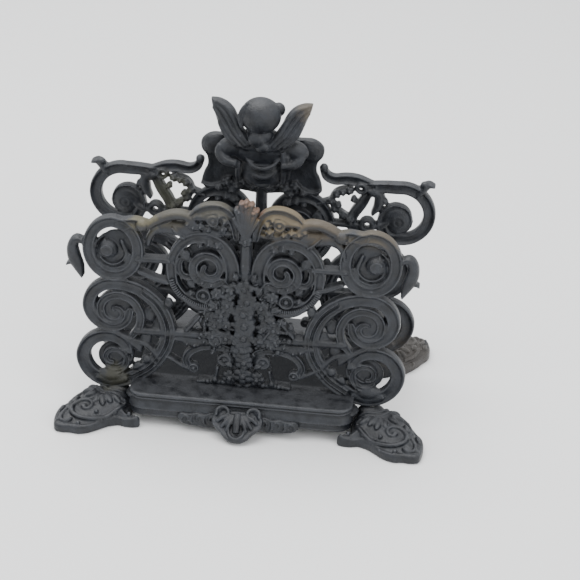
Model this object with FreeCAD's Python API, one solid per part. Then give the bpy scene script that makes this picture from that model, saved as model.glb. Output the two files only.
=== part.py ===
"""Cast-iron napkin rack: two openwork scroll panels on a plinth with four leaf feet.

Millimetres, +Z up, +X to the right, the front faces -Y.  The origin is on the
table, under the middle of the rack.  Every panel is worked out for its right half
and mirrored.
"""
import FreeCAD, Part
import math
import os

V = FreeCAD.Vector
Z_AXIS = V(0, 0, 1)
Y_AXIS = V(0, 1, 0)

# Driving dimensions
PANEL_THICKNESS = 5.5
PANEL_INNER_FACE = 25.0          # each panel's face towards the napkins, from the middle
PLINTH_TOP = 18.9
PLINTH_BOTTOM = 6.0              # the apron's lower edge
PLINTH_HALF_LENGTH = 57.0
PLINTH_HALF_DEPTH = 45.5
PLATE_THICKNESS = 4.0
APRON_THICKNESS = 3.6
FOOT_TIP_X = 94.5
FOOT_TIP_Y = 60.0
SEAT_HEIGHT = 12.6               # top of a foot, where a panel's lug stands
LUG_X = 66.5
SCREW_DIAMETER = 4.0
SCREW_HEAD_DIAMETER = 7.0
SCREW_HEAD_HEIGHT = 2.4
SCREW_CLEARANCE = 4.4
HEAD_RADIUS = 9.8                # the winged figure's head
WING_THICKNESS = 4.6

PANEL_MIDDLE = PANEL_INNER_FACE + PANEL_THICKNESS / 2
FOOT_SCREW_X = 50.0
FOOT_SCREW_Y = 34.0
FIGURE_SCREW_X = 8.0
FIGURE_SCREW_Z = 122.0
FIGURE_SCREW_RADIUS = 1.5


# Plane shapes.  A point of a panel is (x, z); the shapes lie in the plane y = 0.
def at(x, z, y=0.0):
    return V(x, y, z)


def spline_edge(points, closed=False):
    curve = Part.BSplineCurve()
    curve.interpolate([at(*p) for p in points], closed)
    return curve.toShape()


def plate(points):
    """A leaf or plate with a smooth closed outline."""
    return Part.Face(Part.Wire(spline_edge(points, True)))


def edged_plate(points):
    """A plate with a smooth outline from its first point to its last, and a straight edge back."""
    closing = Part.makeLine(at(*points[-1]), at(*points[0]))
    return Part.Face(Part.Wire([spline_edge(points), closing]))


def block(x0, x1, z0, z1):
    corners = [at(x0, z0), at(x1, z0), at(x1, z1), at(x0, z1), at(x0, z0)]
    return Part.Face(Part.makePolygon(corners))


def disc(x, z, radius):
    return Part.Face(Part.Wire(Part.makeCircle(radius, at(x, z), Y_AXIS)))


def eyelet(x, z, radius, hole_radius):
    return disc(x, z, radius).cut(disc(x, z, hole_radius))


def turn(centre, radius, angle, across=1.0, steps=9):
    """Points of a spiral: radius and angle are (start, end), across widens it in x."""
    points = []
    for i in range(steps):
        t = i / (steps - 1)
        r = radius[0] + (radius[1] - radius[0]) * t
        a = math.radians(angle[0] + (angle[1] - angle[0]) * t)
        points.append((centre[0] + across * r * math.cos(a), centre[1] + r * math.sin(a)))
    return points


def band(points, width, end_width=None):
    """A strip of the given width along a smooth line, with round ends."""
    end_width = width if end_width is None else end_width
    line = Part.BSplineCurve()
    line.interpolate([at(*p) for p in points])
    count = 3 * len(points)
    first, last = line.FirstParameter, line.LastParameter
    left, right = [], []
    for i in range(count + 1):
        u = first + (last - first) * i / count
        half = (width + (end_width - width) * i / count) / 2
        along = line.tangent(u)[0]
        side = V(-along.z, 0, along.x) * half
        left.append(line.value(u) + side)
        right.append(line.value(u) - side)
    edges = []
    for row in (left, right):
        edge = Part.BSplineCurve()
        edge.interpolate(row)
        edges.append(edge.toShape())
    caps = [Part.makeLine(left[0], right[0]), Part.makeLine(left[-1], right[-1])]
    wire = Part.Wire(Part.__sortEdges__(edges + caps))
    ends = [disc(points[0][0], points[0][1], width / 2),
            disc(points[-1][0], points[-1][1], end_width / 2)]
    return [Part.Face(wire)] + ends


# The scrolls that both panels have, right half
def lower_scrolls():
    heel = [(46, 26.5), (55, 19.5)]
    c_scroll = turn((64.5, 60), (4.0, 12.9), (-300, 60), steps=19)
    c_scroll += [(60, 72.8), (50, 70), (42, 63), (37.5, 54), (36.5, 45), (39, 36)] + heel
    lower_ring = turn((66.5, 31), (15.2, 14.7), (-105, 0), steps=6)
    lower_ring += turn((66.5, 31), (14.7, 9.4), (0, 180), steps=9)[1:]
    lower_ring += turn((66.5, 31), (9.4, 5.5), (180, 290), steps=6)[1:]
    pieces = band(c_scroll, 4.0, 7.6) + band(heel + lower_ring, 7.6, 3.6)
    pieces += band([(64, 69.5), (57, 69), (51, 63.5), (50.5, 56), (52.5, 49), (58, 43.5)], 3.4)
    pieces += band([(42, 32), (47, 38), (56, 41.5)], 3.6, 3.0)
    pieces += band([(43, 28), (47.5, 31)], 3.0, 5.0)
    pieces += [block(18, 52, 44.6, 49), block(37, 51, 86, 89.8)]
    pieces += [disc(65.3, 30.7, 4.3), disc(64, 59, 5.5), block(58, 74, SEAT_HEIGHT, 19)]
    return pieces


def ribbed_ring():
    ring = turn((21.5, 83.6), (18.3, 18.3), (230, -110), across=0.885, steps=19)
    inner = turn((18.3, 87), (9.6, 5.0), (-40, -420), steps=17)
    pieces = band(ring, 5.5) + band(inner, 3.6, 2.6)
    pieces += [disc(18.3, 87, 4.0), eyelet(30, 83, 5.7, 1.8)]
    return pieces


def low_arch():
    arch = [(6, 29.3), (3.8, 34), (6.5, 38.6), (12, 40.6)]
    arch += [(20, 40.3), (26.5, 37.3), (29.6, 32), (27.6, 26.6)]
    pieces = band(arch, 4.0) + [disc(9.8, 34, 4.6), disc(26, 27.4, 2.8)]
    pieces += [plate([(16, 41), (24, 39.5), (33, 41), (34, 45), (25, 46), (17, 45)])]
    return pieces


def festoon():
    beads = [(0, 76, 5), (1.5, 69, 5.4), (0, 62, 6.2), (0, 55, 6.2), (0, 48, 5.8), (0, 41, 5.5), (0, 34, 5)]
    beads += [(0, 26, 5.4), (8.5, 66, 4.2), (20.5, 70, 4.3), (14, 72, 3.8), (11.5, 60, 4.8), (15, 54, 4.4)]
    beads += [(9, 47, 4.6), (16, 47.5, 3.6), (7, 24, 4.4), (27, 70.5, 3.6)]
    pieces = [disc(*bead) for bead in beads]
    pieces += [block(-1, 3.3, 60, 106), block(-1, 22, PLINTH_TOP, 21.6), block(12, 15.2, 20, 29)]
    pieces += band([(28, 26), (34, 28.5), (39, 32)], 2.8)
    return pieces


def front_top():
    """The ear ring and its leaf, and the arches either side of the plume."""
    ear = [(49, 106), (57, 106.8)] + turn((65.5, 94), (13.5, 13.3), (90, -15), steps=6)
    ear += [(75.5, 86.3), (70, 84.6)]
    pieces = band(ear, 6.4, 4.0) + [disc(67.3, 92.6, 5.2)]
    pieces += band([(68.5, 85), (66.5, 89)], 4.0)
    pieces += band([(50, 104), (51.8, 96), (52.6, 88), (57, 81.6), (64, 80.4), (69.5, 83.6)], 5.2, 4.0)
    pieces += [plate([(78.5, 97), (81.5, 99.5), (84.5, 99.3), (86.3, 93), (85, 86), (82.3, 82),
                      (81.6, 76.6), (79, 77), (77.4, 81.5), (77, 87)])]
    pieces += band([(49, 105.5), (43, 109.6), (36, 112.6), (30, 112.6), (26.5, 110)], 5.0)
    pieces += [plate([(25, 104), (34, 99), (40, 102), (48, 104), (40, 110), (30, 110)])]
    pieces += band([(25.5, 112.5), (20, 116.6), (14, 118.2), (8, 115.4), (5.4, 109), (4, 103)], 4.4)
    pieces += [disc(x, z, r) for x, z, r in ((49, 106.5, 3.6), (16.5, 112.5, 3.6), (22.5, 108, 3.4),
                                              (11.5, 107.5, 3.8), (26, 107.5, 3.0), (11, 111, 3))]
    pieces += [plate([(-4, 104), (4, 104), (6, 114), (0, 124.3), (-6, 114)])]
    return pieces


def back_top():
    """The larger ear ring, the top rail and half of the crest plate."""
    ear = [(56, 110), (65, 109.6)] + turn((73, 95.5), (15.2, 15.2), (90, -90), steps=9)
    ear += turn((72.3, 92.2), (11.7, 8.2), (-100, -330), steps=9)
    pieces = band(ear, 6.2, 5.0) + [disc(72.3, 92, 8.6)]
    pieces += [plate([(81, 111), (82, 114.5), (86, 115.8), (90, 113.4),
                      (87.5, 110.5), (87, 106), (83, 107)])]
    pieces += band([(56.5, 108), (53, 101), (48.6, 94), (47.4, 88), (50.4, 84.2), (55, 84.6)], 5.4, 4.4)
    pieces += [disc(56, 88.6, 4.4), disc(52, 109.6, 3.4)]
    pieces += [plate([(58, 108), (64, 106.6), (65, 102.5), (61.5, 96.5),
                      (59, 93.5), (57.2, 97.5), (55, 102)])]
    rail = [(57, 110.5), (50, 113.2), (44, 113.5), (38, 112.6), (33.6, 114.4), (31.8, 118)]
    blossom = [(46, 108), (39.5, 105.5), (36.8, 101), (38.5, 96.6), (43, 93.3), (47, 91)]
    pieces += band(rail, 5.6, 4.6) + band(blossom, 5.0, 4.0)
    pieces += band([(37, 101), (30.5, 98.5)], 5.0)
    pieces += [edged_plate([(-1, 102), (14, 103.6), (27, 102), (31.8, 106), (29.8, 111.5), (28.6, 119),
                            (31, 125), (31, 130.5), (26, 133.8), (18, 133.6), (8, 136), (-1, 136.6)])]
    return pieces


def panel(pieces, inner_face, outwards):
    """Give each scroll the panel's thickness, fuse the right half and mirror it."""
    solids = []
    for piece in pieces:
        solid = piece.extrude(V(0, outwards * PANEL_THICKNESS, 0))
        if solid.Volume < 0:
            solid.reverse()
        solids.append(solid)
    right_side = Part.makeBox(120, 40, 200, V(0, -20, 0))
    half = solids[0].fuse(solids[1:]).common(right_side).removeSplitter()
    whole = half.fuse(half.mirror(V(0, 0, 0), V(1, 0, 0)))
    whole.translate(V(0, inner_face, 0))
    return whole


# Round parts standing along Z
def post(x, y, z0, z1, diameter):
    return Part.makeCylinder(diameter / 2, z1 - z0, V(x, y, z0), Z_AXIS)


def screw(x, y, z_head, z_end):
    """A cheese-head screw driven upwards, its slot in the underside of the head."""
    head = post(x, y, z_head, z_head + SCREW_HEAD_HEIGHT, SCREW_HEAD_DIAMETER)
    slot = Part.makeBox(SCREW_HEAD_DIAMETER, 1.0, 1.0, V(x - SCREW_HEAD_DIAMETER / 2, y - 0.5, z_head))
    shank = post(x, y, z_head + SCREW_HEAD_HEIGHT, z_end, SCREW_DIAMETER)
    return head.cut(slot).fuse(shank)


def corners():
    return [(sx, sy) for sy in (-1, 1) for sx in (-1, 1)]


# Plinth
def shell_ornament():
    """The scallop in the middle of each apron, leaning out, with a scroll on each side."""
    face = PLINTH_HALF_DEPTH
    profile = [(-1, 15), (2.5, 14), (6.5, 8), (10.5, 2), (8, 0.8), (-1, 7), (-1, 15)]
    side = Part.makePolygon([V(0, -face - out, z) for out, z in profile])
    lean = Part.Face(side).extrude(V(24, 0, 0))
    lean.translate(V(-12, 0, 0))
    front = Part.BSplineCurve()
    front.interpolate([V(x, -face - 14, z) for x, z in ((0, 0.6), (4, 3), (9, 9), (11, 14), (0, 16),
                                                        (-11, 14), (-9, 9), (-4, 3))], True)
    scallop = lean.common(Part.Face(Part.Wire(front.toShape())).extrude(V(0, 18, 0)))
    wings = []
    for sx in (-1, 1):
        wing = Part.BSplineCurve()
        wing.interpolate([V(sx * x, -face + 1, z) for x, z in ((6, 5), (15, 3.6), (28, 5.4), (31, 9),
                                                              (26, 11), (14, 11.5), (7, 13))], True)
        wings.append(Part.Face(Part.Wire(wing.toShape())).extrude(V(0, -4.5, 0)))
    return scallop.fuse(wings)


def base_plate():
    length, depth = PLINTH_HALF_LENGTH, PLINTH_HALF_DEPTH
    box = Part.makeBox(2 * length, 2 * depth, PLINTH_TOP - PLINTH_BOTTOM, V(-length, -depth, PLINTH_BOTTOM))
    upright = [e for e in box.Edges if abs(e.tangentAt(0).z) > 0.9]
    box = box.makeFillet(3.0, upright)
    rim = [e for e in box.Edges if e.BoundBox.ZMin > PLINTH_TOP - 0.01]
    box = box.makeChamfer(1.2, rim)
    inside = Part.makeBox(2 * (length - APRON_THICKNESS), 2 * (depth - APRON_THICKNESS),
                          PLINTH_TOP - PLATE_THICKNESS - PLINTH_BOTTOM + 1,
                          V(-length + APRON_THICKNESS, -depth + APRON_THICKNESS, PLINTH_BOTTOM - 1))
    shape = box.cut(inside)
    ornament = shell_ornament()
    turned = ornament.copy()
    turned.rotate(V(0, 0, 0), Z_AXIS, 180)
    shape = shape.fuse([ornament, turned])
    for sx, sy in corners():
        # the notch that a panel's scroll drops into, and the window for a foot's tongue
        notch = Part.makeBox(13, PANEL_THICKNESS + 0.4, PLINTH_TOP,
                             V(45.5, -PANEL_THICKNESS / 2 - 0.2, PLINTH_TOP - PLATE_THICKNESS))
        window = Part.makeBox(8, 16.4, PLINTH_TOP - PLATE_THICKNESS, V(51, -8.2, 0))
        notch.translate(V(0, PANEL_MIDDLE, 0))
        window.translate(V(0, FOOT_SCREW_Y, 0))
        for tool in (notch, window):
            tool = tool.mirror(V(0, 0, 0), V(1, 0, 0)) if sx < 0 else tool
            tool = tool.mirror(V(0, 0, 0), V(0, 1, 0)) if sy < 0 else tool
            shape = shape.cut(tool)
        shape = shape.cut(post(sx * FOOT_SCREW_X, sy * FOOT_SCREW_Y, 10, 17.4, SCREW_DIAMETER))
    return shape


# Feet, worked out for the back right corner
def foot_blank():
    """The leaf's outline from above, standing as a block."""
    face, end = PLINTH_HALF_DEPTH, PLINTH_HALF_LENGTH
    outer = Part.BSplineCurve()
    outline = [(end, 19), (72, 20.5), (82, 25.5), (89, 34), (93, 43), (FOOT_TIP_X, 52), (92.5, 58)]
    outline += [(86, FOOT_TIP_Y - 0.6), (80, FOOT_TIP_Y), (74.5, 58), (69, 52.5), (62, 48.6), (54, 49.5)]
    outline += [(51, 48)]
    outer.interpolate([V(x, y, 0) for x, y in outline])
    ends = [V(51, 48, 0), V(51, face, 0), V(end, face, 0), V(end, 19, 0)]
    lines = [Part.makeLine(a, b) for a, b in zip(ends, ends[1:])]
    return Part.Face(Part.Wire([outer.toShape()] + lines)).extrude(V(0, 0, 30))


def foot_slope():
    """Everything under the foot's top: level under the lug, then falling to the tip."""
    top = Part.BSplineCurve()
    top.interpolate([V(0, 0, SEAT_HEIGHT), V(8, 0, 12.2), V(20, 0, 9.4), V(34, 0, 7.4), V(48, 0, 5.2)])
    rest = [V(48, 0, 5.2), V(48, 0, 0), V(-30, 0, 0), V(-30, 0, SEAT_HEIGHT), V(0, 0, SEAT_HEIGHT)]
    lines = [Part.makeLine(a, b) for a, b in zip(rest, rest[1:])]
    slope = Part.Face(Part.Wire([top.toShape()] + lines)).extrude(V(0, 90, 0))
    slope.translate(V(0, -45, 0))
    slope.rotate(V(0, 0, 0), Z_AXIS, 45)
    slope.translate(V(66, 34, 0))
    return slope


def foot(sx, sy):
    shape = foot_blank().common(foot_slope())
    hollow = Part.makeBox(20, 18, 6, V(58.5, 24, -2))
    tongue = Part.makeBox(20, 16, 3.4, V(43, FOOT_SCREW_Y - 8, PLINTH_TOP - PLATE_THICKNESS - 3.4))
    shape = shape.cut(hollow).fuse(tongue)
    shape = shape.common(Part.makeBox(200, 200, SEAT_HEIGHT + 2.3, V(0, 0, 0)))
    shape = shape.cut([post(LUG_X, PANEL_MIDDLE, -1, 30, SCREW_CLEARANCE),
                       post(FOOT_SCREW_X, FOOT_SCREW_Y, -1, 30, SCREW_CLEARANCE)])
    seat_clear = Part.makeBox(18, PANEL_THICKNESS + 1, 6, V(57.2, PANEL_INNER_FACE - 0.5, SEAT_HEIGHT))
    shape = shape.cut(seat_clear)
    shape = shape.mirror(V(0, 0, 0), V(1, 0, 0)) if sx < 0 else shape
    return shape.mirror(V(0, 0, 0), V(0, 1, 0)) if sy < 0 else shape


# The winged figure on the crest
def ellipsoid(x, y, z, rx, ry, rz):
    stretch = FreeCAD.Matrix()
    stretch.scale(rx, ry, rz)
    ball = Part.makeSphere(1.0).transformGeometry(stretch)
    ball.translate(V(x, y, z))
    return ball


def wing():
    face = plate([(5, 129), (11, 141), (16, 149.6), (21.5, 154.2), (26.4, 154.4),
                  (26, 150), (23.2, 143), (20, 136.4), (15, 129)])
    solid = face.extrude(V(0, WING_THICKNESS, 0))
    solid.translate(V(0, PANEL_INNER_FACE - WING_THICKNESS, 0))
    return solid


def in_front(solid):
    """The part of a solid that stands clear of the back panel."""
    room = Part.makeBox(80, 60, 100, V(-40, PANEL_INNER_FACE - 60, 90))
    return solid.common(room)


def winged_figure():
    face = PANEL_INNER_FACE
    body = in_front(ellipsoid(0, face - 4, 129.5, 14, 7.5, 11.5))
    head = in_front(Part.makeSphere(HEAD_RADIUS, V(0, face - 7.3, 149)))
    skirt = in_front(ellipsoid(0, face - 2, 115.5, 11.5, 5.5, 8))
    shape = body.fuse([head, skirt, wing(), wing().mirror(V(0, 0, 0), V(1, 0, 0))])
    for sx in (-1, 1):
        start = V(sx * FIGURE_SCREW_X, face + 1, FIGURE_SCREW_Z)
        shape = shape.cut(Part.makeCylinder(FIGURE_SCREW_RADIUS, 6, start, V(0, -1, 0)))
    return shape


def figure_screws():
    screws = []
    back = PANEL_INNER_FACE + PANEL_THICKNESS
    for sx in (-1, 1):
        head = Part.makeCylinder(2.8, 1.6, V(sx * FIGURE_SCREW_X, back, FIGURE_SCREW_Z), Y_AXIS)
        slot = Part.makeBox(0.8, 0.8, 8, V(sx * FIGURE_SCREW_X - 0.4, back + 0.9, FIGURE_SCREW_Z - 4))
        start = V(sx * FIGURE_SCREW_X, back, FIGURE_SCREW_Z)
        shank = Part.makeCylinder(FIGURE_SCREW_RADIUS, PANEL_THICKNESS + 5, start, V(0, -1, 0))
        screws.append(head.cut(slot).fuse(shank))
    return Part.makeCompound(screws)


def main():
    os.makedirs("parts", exist_ok=True)
    lower = lower_scrolls() + ribbed_ring() + low_arch() + festoon()
    front = panel(lower + front_top(), -PANEL_INNER_FACE, -1)
    back = panel(lower + back_top(), PANEL_INNER_FACE, 1)
    for sx in (-1, 1):
        front = front.cut(post(sx * LUG_X, -PANEL_MIDDLE, 0, 18, SCREW_DIAMETER))
        back = back.cut(post(sx * LUG_X, PANEL_MIDDLE, 0, 18, SCREW_DIAMETER))
        start = V(sx * FIGURE_SCREW_X, 20, FIGURE_SCREW_Z)
        back = back.cut(Part.makeCylinder(FIGURE_SCREW_RADIUS, 20, start, Y_AXIS))
    nodes = {"base_plate": base_plate(), "front_panel": front, "back_panel": back}
    names = {(-1, -1): "front_left_foot", (1, -1): "front_right_foot",
             (-1, 1): "back_left_foot", (1, 1): "back_right_foot"}
    for corner, name in names.items():
        nodes[name] = foot(*corner)
    nodes["winged_figure"] = winged_figure()
    nodes["figure_screws"] = figure_screws()
    through_lugs = [screw(sx * LUG_X, sy * PANEL_MIDDLE, 1.6, 17.5) for sx, sy in corners()]
    through_tongues = [screw(sx * FOOT_SCREW_X, sy * FOOT_SCREW_Y, 9.1, 17.2) for sx, sy in corners()]
    nodes["panel_screws"] = Part.makeCompound(through_lugs)
    nodes["foot_screws"] = Part.makeCompound(through_tongues)
    for name, shape in nodes.items():
        if not shape.isValid():
            print("not valid:", name)
        print(name, len(shape.Solids), round(shape.Volume), shape.optimalBoundingBox())
        shape.exportStep("parts/" + name + ".step")


main()
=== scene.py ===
import math

import bmesh
import bpy
import numpy as np
from mathutils import Matrix, Vector


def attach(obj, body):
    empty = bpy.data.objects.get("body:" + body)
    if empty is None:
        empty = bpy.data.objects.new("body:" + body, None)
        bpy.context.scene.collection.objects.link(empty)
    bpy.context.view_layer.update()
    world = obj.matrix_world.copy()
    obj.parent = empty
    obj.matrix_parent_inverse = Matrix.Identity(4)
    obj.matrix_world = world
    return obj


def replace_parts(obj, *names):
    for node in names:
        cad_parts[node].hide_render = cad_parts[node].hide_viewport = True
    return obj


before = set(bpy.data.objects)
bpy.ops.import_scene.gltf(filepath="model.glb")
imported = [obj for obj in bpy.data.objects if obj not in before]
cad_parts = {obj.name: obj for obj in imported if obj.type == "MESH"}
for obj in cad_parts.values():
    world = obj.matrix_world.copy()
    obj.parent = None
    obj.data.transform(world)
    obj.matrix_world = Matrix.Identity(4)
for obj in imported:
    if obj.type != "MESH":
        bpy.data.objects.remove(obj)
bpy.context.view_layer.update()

# ---------------------------------------------------------------------------------------------
# Plinth.  One iron casting: a flat top on a swelling apron with fine beads under its edge, open
# underneath.  A scallop with two small curls hangs from the middle of each long side.

MM = 0.001
FACE_LIMIT = 98000               # four-sided faces in one casting


class Mould:
    """Closed shells, in millimetres, that are poured together into one casting."""

    def __init__(self):
        self.points = []
        self.faces = []

    def shell(self, points, faces):
        first = len(self.points)
        self.points += [tuple(p) for p in points]
        self.faces += [tuple(first + i for i in face) for face in faces]

    def loft(self, rings):
        """A skin through rings of points, closed by a flat cap at each end."""
        around = len(rings[0])
        faces = []
        for k in range(len(rings) - 1):
            for i in range(around):
                j = (i + 1) % around
                faces.append((k * around + i, k * around + j, (k + 1) * around + j, (k + 1) * around + i))
        last = (len(rings) - 1) * around
        faces.append(tuple(range(around - 1, -1, -1)))
        faces.append(tuple(last + i for i in range(around)))
        self.shell([p for ring in rings for p in ring], faces)

    def lump(self, centre, radii, axes=None, rows=8):
        """An ellipsoid; axes, where given, are its three directions."""
        axes = axes or (Vector((1, 0, 0)), Vector((0, 1, 0)), Vector((0, 0, 1)))
        centre = Vector(centre)
        rings = []
        for k in range(rows + 1):
            lat = math.pi * (0.04 + 0.92 * k / rows)
            ring = []
            for i in range(2 * rows):
                lon = math.pi * i / rows
                unit = (math.sin(lat) * math.cos(lon), math.sin(lat) * math.sin(lon), math.cos(lat))
                ring.append(centre + sum((axis * (r * u) for axis, r, u in zip(axes, radii, unit)),
                                         Vector()))
            rings.append(ring)
        self.loft(rings)

    def mirror(self, axis=0):
        """Adds the other half, across the plane through the origin."""
        points = [tuple(-c if i == axis else c for i, c in enumerate(p)) for p in self.points]
        self.shell(points, [tuple(reversed(face)) for face in list(self.faces)])

    def pour(self, name, grid=None, soften=1):
        """The finished piece; where a grid, in millimetres, is given, the shells are fused on it."""
        mesh = bpy.data.meshes.new(name)
        mesh.from_pydata([(x * MM, y * MM, z * MM) for x, y, z in self.points], [], self.faces)
        mesh.update()
        piece = bpy.data.objects.new(name, mesh)
        bpy.context.scene.collection.objects.link(piece)
        if grid:
            fuse = piece.modifiers.new("fuse", "REMESH")
            fuse.mode = "VOXEL"
            fuse.voxel_size = grid * MM
            fuse.adaptivity = 0
            if soften:
                smooth = piece.modifiers.new("soften", "SMOOTH")
                smooth.factor = 0.5
                smooth.iterations = soften
            piece.data = settled(piece)
            if len(piece.data.polygons) > FACE_LIMIT:
                thin = piece.modifiers.new("thin", "DECIMATE")
                thin.ratio = FACE_LIMIT / len(piece.data.polygons)
                piece.data = settled(piece)
        else:
            work = bmesh.new()
            work.from_mesh(piece.data)
            bmesh.ops.recalc_face_normals(work, faces=work.faces)
            work.to_mesh(piece.data)
            work.free()
        piece.data.name = name
        piece.data.shade_smooth()
        piece.data.materials.append(iron_finish)
        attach(piece, "root")
        return piece


def settled(piece):
    """The piece's mesh with its modifiers applied, which are then taken off."""
    view = bpy.context.evaluated_depsgraph_get()
    mesh = bpy.data.meshes.new_from_object(piece.evaluated_get(view), depsgraph=view)
    piece.modifiers.clear()
    return mesh


PLINTH_LENGTH, PLINTH_DEPTH = 57.0, 45.5         # half sizes of the apron
# (out from the apron, height) round the outside and up the inside
PLINTH_MOULDING = [(-5.6, 14.9), (-3.6, 14.7), (-3.6, 6.4), (-3.3, 6.0), (-0.4, 6.0), (0.0, 6.4),
                   (0.0, 7.0), (-0.2, 7.4), (-0.2, 9.1), (-0.1, 9.5), (0.35, 9.8), (0.75, 10.2),
                   (0.65, 10.9), (0.3, 11.8), (-0.2, 12.8), (-0.7, 13.6), (-1.1, 14.3), (-1.2, 14.9),
                   (-1.0, 15.2), (-0.3, 15.4), (0.05, 15.8), (0.0, 16.2), (-0.5, 16.4), (-0.5, 16.7),
                   (0.05, 17.0), (0.3, 17.5), (0.3, 18.1), (0.0, 18.6), (-0.6, 18.85), (-1.6, 18.9)]


def plinth_ring(out, z, corner=7.0):
    """The plinth's plan with rounded corners, moved out, at a height."""
    ring = []
    for quarter in range(4):
        cx = (PLINTH_LENGTH - corner) * (1 if quarter in (0, 3) else -1)
        cy = (PLINTH_DEPTH - corner) * (1 if quarter in (0, 1) else -1)
        for i in range(9):
            angle = math.pi / 2 * (quarter + i / 8)
            ring.append((cx + (corner + out) * math.cos(angle), cy + (corner + out) * math.sin(angle), z))
    return ring


plinth = Mould()
plinth.loft([plinth_ring(out, z) for out, z in PLINTH_MOULDING])


class Signal:
    """One socket of a shader, so that sums can be written as sums."""

    tree = None

    def __init__(self, socket):
        self.socket = socket

    @classmethod
    def node(cls, kind, settings=None, **inputs):
        """A node with its settings, and its sockets by name, or by number as n0, n1."""
        made = cls.tree.nodes.new(kind)
        for name, value in (settings or {}).items():
            setattr(made, name, value)
        for name, value in inputs.items():
            socket = made.inputs[int(name[1:])] if name[1:].isdigit() else made.inputs[name.replace("_",
                                                                                                    " ")]
            if isinstance(value, cls):
                cls.tree.links.new(value.socket, socket)
            else:
                socket.default_value = value
        return made

    @classmethod
    def math(cls, operation, a, b):
        return cls(cls.node("ShaderNodeMath", {"operation": operation}, n0=a, n1=b).outputs[0])

    def __add__(self, other):
        return Signal.math("ADD", self, other)

    def __sub__(self, other):
        return Signal.math("SUBTRACT", self, other)

    def __rsub__(self, other):
        return Signal.math("SUBTRACT", other, self)

    def __mul__(self, other):
        return Signal.math("MULTIPLY", self, other)

    def __truediv__(self, other):
        return Signal.math("DIVIDE", self, other)

    __radd__ = __add__
    __rmul__ = __mul__

    def over(self, low, high):
        """0 below low, 1 above high, smooth between."""
        return Signal(Signal.node("ShaderNodeMapRange", {"interpolation_type": "SMOOTHSTEP"},
                                  Value=self, From_Min=low, From_Max=high).outputs[0])


def grain(place, scale, detail=2.0):
    return Signal(Signal.node("ShaderNodeTexNoise", Vector=place, Scale=scale, Detail=detail,
                              Roughness=0.6).outputs["Fac"])


def stained(base, mask, colour):
    """The base colour with another laid over it where the mask is 1."""
    return Signal(Signal.node("ShaderNodeMix", {"data_type": "RGBA"}, n0=mask, n6=base,
                              n7=(*colour, 1)).outputs[2])


def patch(place, centre, radius, ragged):
    """A stain about a point, in metres, with a ragged edge."""
    apart = Signal.node("ShaderNodeVectorMath", {"operation": "DISTANCE"}, n0=place, n1=centre)
    return 1 - (Signal(apart.outputs["Value"]) / radius + ragged).over(0.7, 1.4)


# where rust and old polish show, as (place, radius, colour)
EDGE_STAINS = [
    ((0.014, -0.028, 0.118), 0.013, (0.125, 0.098, 0.056)),
    ((0.025, -0.028, 0.113), 0.009, (0.115, 0.090, 0.056)),
    ((0.036, -0.028, 0.112), 0.009, (0.075, 0.060, 0.042)),
    ((0.066, -0.028, 0.110), 0.011, (0.075, 0.062, 0.044)),
    ((-0.036, -0.028, 0.114), 0.009, (0.060, 0.055, 0.042)),
    ((-0.050, -0.028, 0.107), 0.007, (0.095, 0.085, 0.052)),
    ((0.003, -0.028, 0.122), 0.007, (0.125, 0.075, 0.055)),
    ((-0.016, -0.028, 0.119), 0.008, (0.060, 0.056, 0.044)),
    ((0.049, -0.028, 0.106), 0.005, (0.070, 0.060, 0.044)),
]
SPOTS = [
    ((-0.048, 0.026, 0.100), 0.009, (0.050, 0.050, 0.033)),
    ((-0.067, -0.028, 0.018), 0.007, (0.045, 0.044, 0.030)),
    ((0.024, 0.022, 0.152), 0.006, (0.085, 0.070, 0.050)),
    ((0.083, 0.040, 0.010), 0.018, (0.048, 0.041, 0.034)),
]


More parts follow.
